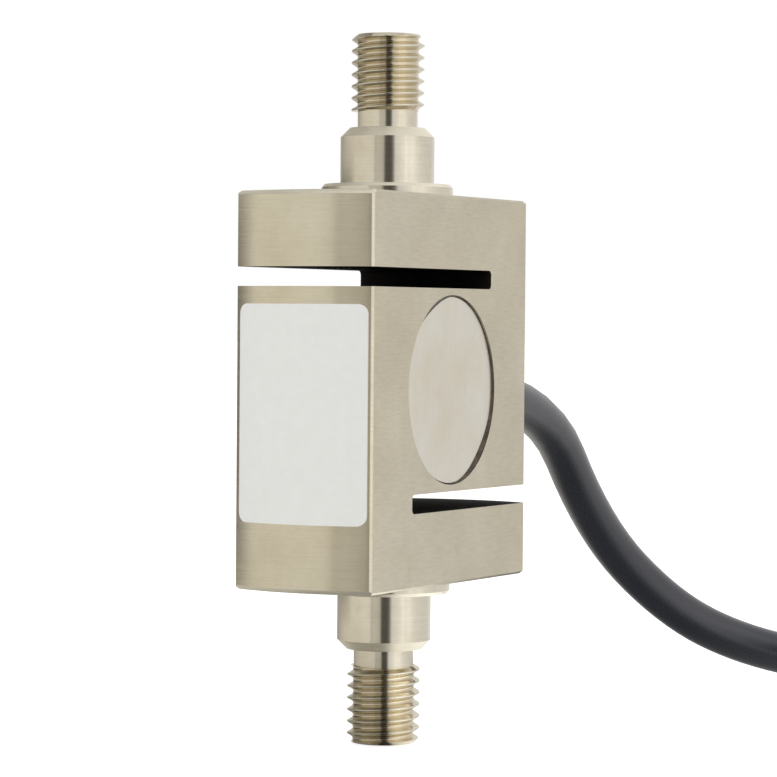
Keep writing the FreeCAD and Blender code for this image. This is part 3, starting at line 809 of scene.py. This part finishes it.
def settleNormals(mesh):
    # flats and round ends keep their true normals, so that the breaks beside them don't bend the light
    normals = [Vector(corner.vector) for corner in mesh.corner_normals]
    for polygon in mesh.polygons:
        places = [mesh.vertices[i].co for i in polygon.vertices]
        turned = all(abs(place.xy.length - element["barRadius"]) < 10 * hair for place in places)
        if abs(polygon.normal.z) < 0.01 and turned:
            for corner, place in zip(polygon.loop_indices, places):
                normals[corner] = Vector((place.x, place.y, 0)).normalized()
        elif abs(polygon.normal.y) > 0.999:
            for corner in polygon.loop_indices:
                normals[corner] = polygon.normal.copy()
    mesh.normals_split_custom_set(normals)


def makeElement():
    bm = nodeCopy("spring_element")
    lowRing, highRing = 2 * centreZ - element["undercutTop"], element["undercutTop"]
    studs = [face for face in bm.faces
             if not lowRing + hair < face.calc_center_median().z < highRing - hair]
    bmesh.ops.delete(bm, geom=studs, context="FACES")
    addShell(bm, threadShell(highRing, element["tipZ"], thread["upperPhase"], True))
    addShell(bm, threadShell(element["lowTipZ"], lowRing, thread["lowerPhase"], False))
    for level in (lowRing, highRing):
        bmesh.ops.bridge_loops(bm, edges=openRim(bm, level))
    alignNormals(bm)
    front = min(bm.faces, key=lambda face: face.calc_center_median().y)
    if front.normal.y > 0:
        bmesh.ops.reverse_faces(bm, faces=bm.faces)
    bevelRims(bm)
    for face in bm.faces:
        face.material_index = elementFinishes.index(elementFinish(face))
    piece = newPiece("springElement", bm, None, 31)
    dark = {"slot": slotMaterial, "recess": recessMaterial}
    for finish in elementFinishes:
        piece.data.materials.append(dark[finish]() if finish in dark else steelMaterial(finish))
    softenBodyEdges(piece.data)
    settleNormals(piece.data)
    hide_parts("spring_element")
    return piece


springElement = makeElement()
print("element finished:", len(springElement.data.polygons), "faces")


# covers
cover = {
    "beadInset": 0.05 * mm,  # how far the adhesive stays below the flat
    "beadSteps": 120,
    "beadThin": 0.05 * mm,
    "beadSlope": 0.8,  # how high it stands for its width
    # the bead stands widest in three places, where its near black also paints the shade of the gap: angle in
    # degrees from +x, width, spread
    "beadSwells": [(116, 0.50 * mm, 24), (-44, 0.62 * mm, 30), (5, 0.12 * mm, 34)],
    # dark brown adhesive tones, which also paint the shade in the cover's gap
    "adhesive": ((0.012, 0.007, 0.003), (0.120, 0.085, 0.045)),
}


def adhesiveMaterial():
    material, tree, shader = startMaterial("adhesive", {"Roughness": 0.4, "Specular IOR Level": 0.4})
    mottle = objectNoise(tree, 900, detail=3)
    dressShader(tree, shader, twoTone(tree, mottle, cover["adhesive"], 0.3, 0.75), mottle, 0.4, 0.04 * mm)
    return material


def coverBead(name, front, material):
    # squeezed out adhesive between the cover's rim and the wall of its recess, dark enough that it also
    # paints the shade in that gap
    wall = element["recessRadius"]
    foot = wall - mm  # before the swells give it its width
    faceY = element["coverFaceY"]
    topY = element["flatY"] - cover["beadInset"]
    bm = bmesh.new()
    corners, edges = closedRing(bm, [(wall, faceY, 0), (wall, topY, 0), (foot, faceY, 0)])
    spinAround(bm, corners + edges, cover["beadSteps"], axis=(0, 1, 0))
    for vert in bm.verts:
        reach = math.hypot(vert.co.x, vert.co.z)
        angle = math.degrees(math.atan2(vert.co.z, vert.co.x))
        width = cover["beadThin"]
        for centre, size, spread in cover["beadSwells"]:
            away = (angle - centre + 180) % 360 - 180
            width += size * math.exp(-(away / spread) ** 2)
        if reach < (wall + foot) / 2:
            vert.co.x *= (wall - width) / reach
            vert.co.z *= (wall - width) / reach
        elif vert.co.y > faceY + hair:
            vert.co.y = min(topY, faceY + width * cover["beadSlope"])
    if front:
        bmesh.ops.scale(bm, vec=(1, -1, 1), verts=bm.verts)
    bmesh.ops.translate(bm, vec=(0, 0, centreZ), verts=bm.verts)
    alignNormals(bm)
    newPiece(name, bm, material, 60)


coverSteel = steelMaterial("cover")
adhesive = adhesiveMaterial()
for nodeName in ("front_cover", "rear_cover"):
    finishedNode(nodeName, coverSteel)
    dressNode(nodeName + "_glue", adhesive)
coverBead("frontCoverBead", True, adhesive)
coverBead("rearCoverBead", False, adhesive)
print("covers set")


# label
label = {
    "paper": ((0.870, 0.872, 0.840), (0.900, 0.902, 0.870)),
    "cloudTint": (0.985, 0.98, 0.955),
    "roughness": (0.34, 0.44),
}


def labelMaterial():
    look = {"Roughness": 0.38, "Specular IOR Level": 0.45, "Coat Weight": 0.15, "Coat Roughness": 0.2}
    material, tree, shader = startMaterial("labelFilm", look)
    fibre = objectNoise(tree, 900, detail=4, roughness=0.6)
    cloud = objectNoise(tree, 90)
    paper = twoTone(tree, fibre, label["paper"])
    tint = mixColours(tree, mapRange(tree, cloud, 0.0, 0.5), paper, label["cloudTint"], "MULTIPLY")
    dressShader(tree, shader, tint, cloud, 0.06, 0.1 * mm, mapRange(tree, cloud, *label["roughness"]))
    return material


finishedNode("label", labelMaterial(), 40)


# plain finishes: dark, light, roughness, scale of the mottling, bump, metal, coat
plainFinishes = {
    "nickelPlate": ((0.53, 0.50, 0.44), (0.64, 0.61, 0.55), 0.24, 1400, 0.08, 1.0),
    "washerBrass": ((0.55, 0.42, 0.20), (0.68, 0.53, 0.28), 0.32, 1200, 0.1, 1.0),
    "bootRubber": ((0.012, 0.012, 0.013), (0.024, 0.024, 0.026), 0.58, 1500, 0.3),
    "sealRubber": ((0.010, 0.010, 0.011), (0.020, 0.020, 0.021), 0.7, 1500, 0.3),
    "tieNylon": ((0.016, 0.016, 0.018), (0.030, 0.030, 0.033), 0.36, 1100, 0.15),
    "shrinkTube": ((0.010, 0.010, 0.011), (0.018, 0.018, 0.020), 0.34, 700, 0.2, 0.0, 0.2),
    "tinnedCopper": ((0.50, 0.49, 0.47), (0.68, 0.67, 0.65), 0.28, 2600, 0.2, 1.0),
    "boardLaminate": ((0.020, 0.085, 0.040), (0.030, 0.115, 0.055), 0.35, 2400, 0.1),
    "padMetal": ((0.60, 0.58, 0.54), (0.72, 0.70, 0.66), 0.3, 3000, 0.15, 1.0),
    "gaugeFilm": ((0.42, 0.22, 0.05), (0.52, 0.29, 0.08), 0.3, 1500, 0.1),
    "gaugeMetal": ((0.50, 0.44, 0.36), (0.62, 0.55, 0.46), 0.3, 3000, 0.1, 1.0),
    "chipBody": ((0.014, 0.014, 0.015), (0.026, 0.026, 0.028), 0.45, 3000, 0.15),
    "enamelWire": ((0.42, 0.16, 0.06), (0.55, 0.24, 0.10), 0.3, 2600, 0.1, 0.8),
    "coreRed": ((0.42, 0.012, 0.010), (0.52, 0.022, 0.016), 0.36, 1600, 0.15),
    "coreBlack": ((0.010, 0.010, 0.011), (0.020, 0.020, 0.022), 0.36, 1600, 0.15),
    "coreGreen": ((0.010, 0.16, 0.045), (0.018, 0.22, 0.065), 0.36, 1600, 0.15),
    "coreWhite": ((0.66, 0.66, 0.63), (0.76, 0.76, 0.73), 0.36, 1600, 0.15),
}


def plainMaterial(name, dark, light, roughness, scale, bump, metal=0.0, coat=0.0):
    # a cast, moulded or coated surface with fine mottling
    material, tree, shader = startMaterial(name, {"Metallic": metal, "Coat Weight": coat})
    mottle = objectNoise(tree, scale, detail=3, roughness=0.6)
    broad = objectNoise(tree, scale / 9)
    colour = twoTone(tree, mottle, (dark, light))
    value = mapRange(tree, broad, 0.92, 1.06)
    dressShader(tree, shader, shaded(tree, colour, value), mottle, bump, 0.02 * mm,
                mapRange(tree, mottle, roughness - 0.06, roughness + 0.06))
    return material


plain = {name: plainMaterial(name, *look) for name, look in plainFinishes.items()}
dressedNodes = {
    "boardLaminate": ["bridge_board", "rear_terminal_strip"],
    "padMetal": ["bridge_board_pads", "rear_terminal_pads"],
    "gaugeFilm": ["front_gauge_backing", "rear_gauge_backing"],
    "gaugeMetal": ["front_gauge_foil", "rear_gauge_foil"],
    "chipBody": ["span_resistor_left", "span_resistor_right"],
    "enamelWire": ["front_gauge_wires", "rear_gauge_wires", "bridge_link_wire"],
    "washerBrass": ["gland_washer"],
    "sealRubber": ["gland_seal"],
}
for colour in ("red", "black", "green", "white"):
    dressedNodes["core" + colour.title()] = ["bridge_core_" + colour]
for finish, nodeNames in dressedNodes.items():
    for nodeName in nodeNames:
        dressNode(nodeName, plain[finish])
glandScrew = finishedNode("gland_screw", plain["nickelPlate"])
cableBoot = finishedNode("cable_boot", plain["bootRubber"], 40)
print("nodes dressed")


# ties, sleeve and stripped end, in millimetres
tie = {
    "angles": (50.0, 210.0),
    "width": 3.6,
    "thickness": 0.8,
    "corner": 2.0,
    "headSide": 4.6,
    "headDepth": 3.0,
    "headBreak": 0.3,
    "mouthInset": 0.7,
    "mouthDepth": 0.6,
    "tail": 4.0,
    "tailThickness": 1.0,
    "tailShare": 0.86,  # of the strap's width
    "tailBreak": 0.2,
    "tailOffset": (0.3, 0.2),  # outwards from the head's middle, and up
}


def coilPlace(angle, radius, z):
    # millimetres about the coil's axis, as a vector in metres
    turn = math.radians(angle)
    cx, cy = cable["coilCentre"]
    return Vector((cx + radius * math.cos(turn), cy + radius * math.sin(turn), z)) * mm


def extrudedVerts(made):
    return [part for part in made["geom"] if isinstance(part, bmesh.types.BMVert)]


def tieBlock(depth, width, height):
    bm = bmesh.new()
    bmesh.ops.create_cube(bm, size=1.0, matrix=Matrix.Diagonal((depth * mm, width * mm, height * mm, 1)))
    return bm


def makeTie(bm, angle):
    # a strap round the bundle, its head on the outer side with the cut tail standing out of it
    inner = cable["innerRadius"] - jacketRadius
    outer = cable["innerRadius"] + (cable["columns"] - 1) * cable["columnPitch"] + jacketRadius
    shelf = cable["innerRadius"] + 2 * cable["columnPitch"] + jacketRadius
    low = tie["thickness"]
    step = low + 2 * jacketRadius + 2 * cable["layerPitch"]
    top = step + cable["layerPitch"]
    section = [(inner, low), (outer, low), (outer, step), (shelf, top), (inner, top)]
    side = coilPlace(angle + 90, 1, 0) - coilPlace(angle, 0, 0)
    side.normalize()
    strap = bmesh.new()
    ring = closedRing(strap, [coilPlace(angle, radius, z) - side * tie["width"] * mm / 2
                              for radius, z in section])
    bevel(strap, ring[0], tie["corner"] * mm, 5, "VERTICES")
    made = bmesh.ops.extrude_edge_only(strap, edges=strap.edges[:])
    bmesh.ops.translate(strap, vec=side * tie["width"] * mm, verts=extrudedVerts(made))
    alignNormals(strap)
    middle = coilPlace(angle, (inner + outer) / 2, step / 2)
    outwards = sum(face.normal.dot(face.calc_center_median() - middle) for face in strap.faces) > 0
    wall = tie["thickness"] * mm
    bmesh.ops.solidify(strap, geom=strap.faces[:], thickness=-wall if outwards else wall)
    alignNormals(strap)
    addShell(bm, strap)
    head = tieBlock(tie["headDepth"], tie["headSide"], tie["headSide"])
    mouth = [face for face in head.faces if abs(face.normal.z) > 0.9]
    bmesh.ops.inset_individual(head, faces=mouth, thickness=tie["mouthInset"] * mm,
                               depth=-tie["mouthDepth"] * mm)
    outline = [edge for edge in head.edges if edge.calc_length() > tie["headDepth"] * mm - hair]
    bevel(head, outline, tie["headBreak"] * mm, 2)
    tailHeight = tie["headSide"] + tie["tail"]
    tail = tieBlock(tie["tailThickness"], tie["width"] * tie["tailShare"], tailHeight)
    bevel(tail, tail.edges[:], tie["tailBreak"] * mm, 1)
    out, up = tie["tailOffset"]
    turn = Matrix.Rotation(math.radians(angle), 4, "Z")
    headRadius = outer + tie["headDepth"] / 2
    for block, radius, z in ((head, headRadius, tie["headSide"] / 2),
                             (tail, headRadius + out, tailHeight / 2 + up)):
        seat = Matrix.Translation(coilPlace(angle, radius, low + z))
        bmesh.ops.transform(block, matrix=seat @ turn, verts=block.verts)
        addShell(bm, block)


tiesMesh = bmesh.new()
for tieAngle in tie["angles"]:
    makeTie(tiesMesh, tieAngle)
cableTies = newPiece("cableTies", tiesMesh, plain["tieNylon"])
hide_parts("cable_ties")

stripped = {
    "sleeveLength": 12.0,
    "sleeveGrip": 7.0,
    "sleeveWall": 0.5,
    "sleeveSteps": 40,
    "coreDiameter": 1.2,
    "ringRadius": 1.3,
    "length": 30.0,
    "lane": 1.35,
    "fan": 0.55,
    "shares": (0.42, 0.7, 1.0),
    "restZ": 16.6,
    "tinnedLength": 6.0,
    "tinnedRadius": 0.35,
    "tinnedSides": 20,
    "tinnedGroove": 0.82,  # every fourth side is drawn in to this share, which parts the strands
    "tinnedRounds": 12,
    "tinnedTwist": 0.42,  # radians at each round
    "seats": {"red": 162, "black": 234, "shield": 90, "green": 306, "white": 18},
}


def freeEnd():
    last, before = Vector(cable["tailPoints"][-1]), Vector(cable["tailPoints"][-2])
    return last, (last - before).normalized()


def seatAlong(bm, end, heading):
    # from millimetres along z to its place, along heading
    turn = heading.to_track_quat("Z", "Y").to_matrix().to_4x4()
    bmesh.ops.transform(bm, matrix=Matrix.Scale(mm, 4) @ Matrix.Translation(end) @ turn, verts=bm.verts)


def makeSleeve():
    # heat shrink: grips the jacket, then draws in on to the cores
    end, heading = freeEnd()
    grip, past = -stripped["sleeveGrip"], stripped["sleeveLength"] - stripped["sleeveGrip"]
    outer = jacketRadius + stripped["sleeveWall"]
    # radius and place along the cable: out over the jacket, in to the mouth, and back inside
    profile = [(jacketRadius, grip), (outer - 0.15, grip), (outer, grip + 0.3), (outer, -0.3),
               (outer - 0.2, 0.6), (outer - 0.55, 1.8), (outer - 0.62, past - 0.2), (outer - 0.75, past),
               (outer - 1.1, past), (outer - 1.05, 1.8), (jacketRadius, 0.2)]
    bm = bmesh.new()
    line, edges = closedRing(bm, [(radius, 0, along) for radius, along in profile])
    spinAround(bm, line + edges, stripped["sleeveSteps"])
    alignNormals(bm)
    seatAlong(bm, end, heading)
    piece = newPiece("endSleeve", bm, plain["shrinkTube"], 40)
    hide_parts("end_sleeve")
    return piece


def coreRoute(colour):
    # out of the sleeve and down on to the turns, side by side and fanning out
    end, heading = freeEnd()
    outwards = Vector((-heading.y, heading.x, 0)).normalized()
    upwards = heading.cross(outwards)
    around = math.radians(stripped["seats"][colour])
    seat = end + (outwards * math.cos(around) + upwards * math.sin(around)) * stripped["ringRadius"]
    past = stripped["sleeveLength"] - stripped["sleeveGrip"]
    lane = list(stripped["seats"]).index(colour) - (len(stripped["seats"]) - 1) / 2
    startAngle, startRadius = aboutCoil(end)
    route = [tuple(seat), tuple(seat + heading * past)]
    for share in stripped["shares"]:
        along = past + stripped["length"] * share
        radius = startRadius + lane * (stripped["lane"] + stripped["fan"] * share)
        angle = math.degrees(startAngle - along / startRadius)
        route.append(tuple(coilPlace(angle, radius, stripped["restZ"]) / mm))
    return route


def tinnedTip(bm, route):
    # twisted strands, drawn together by the tin
    end, before = Vector(route[-1]), Vector(route[-2])
    strand = bmesh.new()
    bmesh.ops.create_circle(strand, cap_ends=True, segments=stripped["tinnedSides"],
                            radius=stripped["tinnedRadius"])
    for i, vert in enumerate(strand.verts):
        if i % 4 == 0:
            vert.co.xy *= stripped["tinnedGroove"]
    rise = stripped["tinnedLength"] / stripped["tinnedRounds"]
    twist = Matrix.Rotation(stripped["tinnedTwist"], 3, "Z")
    for i in range(stripped["tinnedRounds"]):
        top = [face for face in strand.faces
               if face.calc_center_median().z > rise * i - 0.01 and abs(face.normal.z) > 0.9]
        grown = extrudedVerts(bmesh.ops.extrude_face_region(strand, geom=top))
        if i:
            bmesh.ops.delete(strand, geom=top, context="FACES_ONLY")
        bmesh.ops.translate(strand, vec=(0, 0, rise), verts=grown)
        bmesh.ops.rotate(strand, cent=(0, 0, 0), matrix=twist, verts=grown)
    alignNormals(strand)
    seatAlong(strand, end, (end - before).normalized())
    addShell(bm, strand)


endSleeve = makeSleeve()
strippedCores = []
tipsMesh = bmesh.new()
for colour in stripped["seats"]:
    route = coreRoute(colour)
    finish = plain["tinnedCopper" if colour == "shield" else "core" + colour.title()]
    core = nurbsCord("core_" + colour, route, stripped["coreDiameter"] / 2 * mm, finish,
                     steps=10)
    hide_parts("pigtail_" + colour)
    strippedCores.append(core)
    tinnedTip(tipsMesh, route)
tinnedTips = newPiece("tinnedTips", tipsMesh, plain["tinnedCopper"])
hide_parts("tinned_ends")
print("ties, sleeve and stripped end made")


# the photo shows only the lead, so the steel doesn't mirror the coil
for piece in [cableCord, cableTies, endSleeve, tinnedTips] + strippedCores:
    piece.visible_glossy = False
